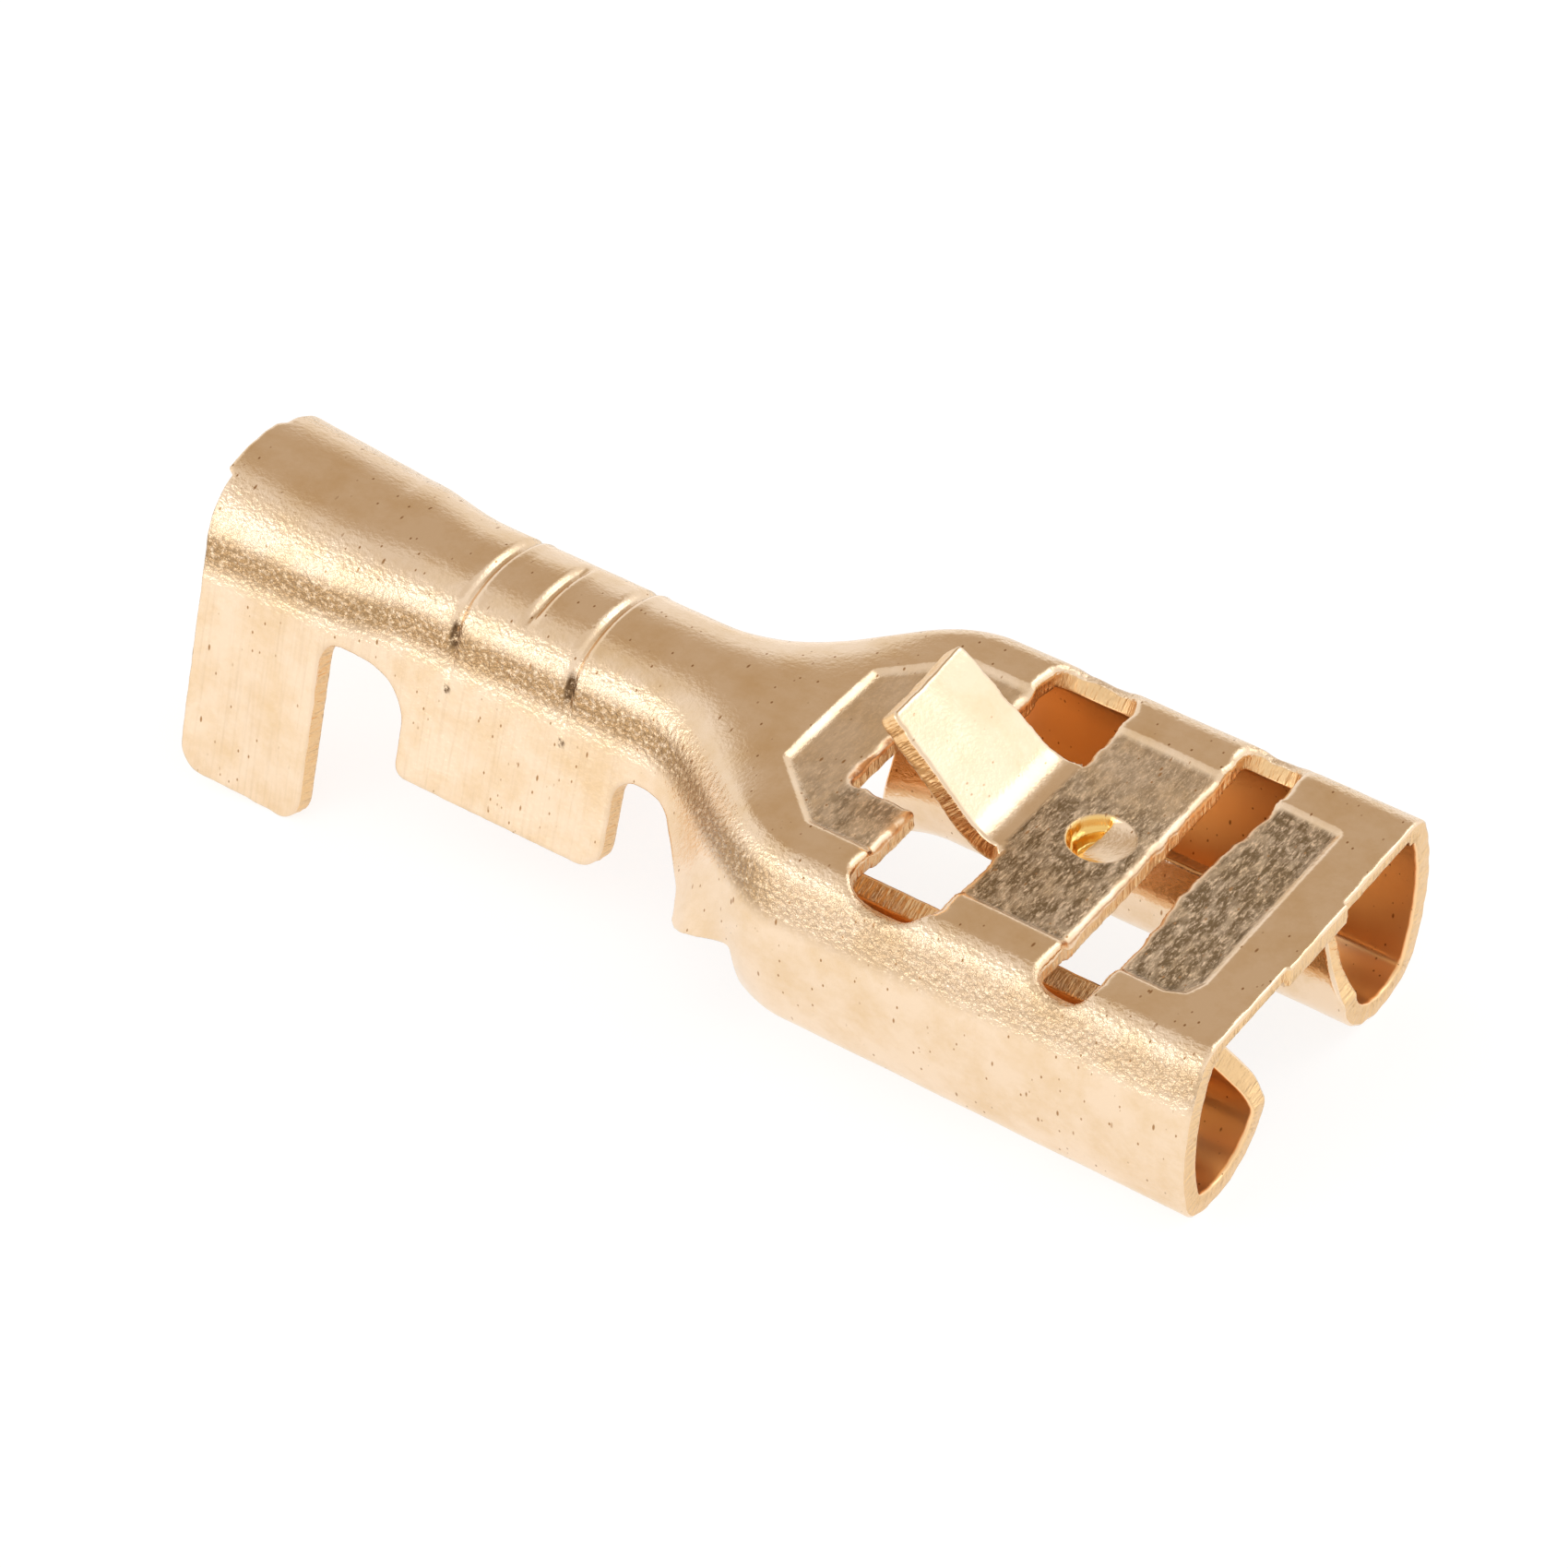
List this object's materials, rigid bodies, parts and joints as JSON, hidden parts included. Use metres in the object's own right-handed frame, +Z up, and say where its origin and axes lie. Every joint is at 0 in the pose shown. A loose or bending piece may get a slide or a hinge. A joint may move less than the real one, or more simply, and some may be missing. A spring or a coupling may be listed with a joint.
{
  "type": "female spade terminal",
  "caption": "Folded brass female spade terminal: rolled receptacle for a flat tab, locking lance, open conductor barrel and open insulation barrel, uncrimped.",
  "frame": {"origin": "centre of the footprint on the floor, under the terminal as it lies at rest", "axes": "+X along the terminal towards the mouth that takes the tab, -X towards the wire; +Z up, with the flat plate and its lance on top and the open side down; the terminal's own axis dips by about 4.4 degrees towards +X, because it rests on the mouth ends of its rolls and on its insulation wings"},
  "size_m": [0.0212, 0.0076, 0.0059],
  "materials": {
    "brass": "bright stamped sheet, pale gold"
  },
  "bodies": {
    "root": {"terminal": "brass"}
  },
  "joints": []
}
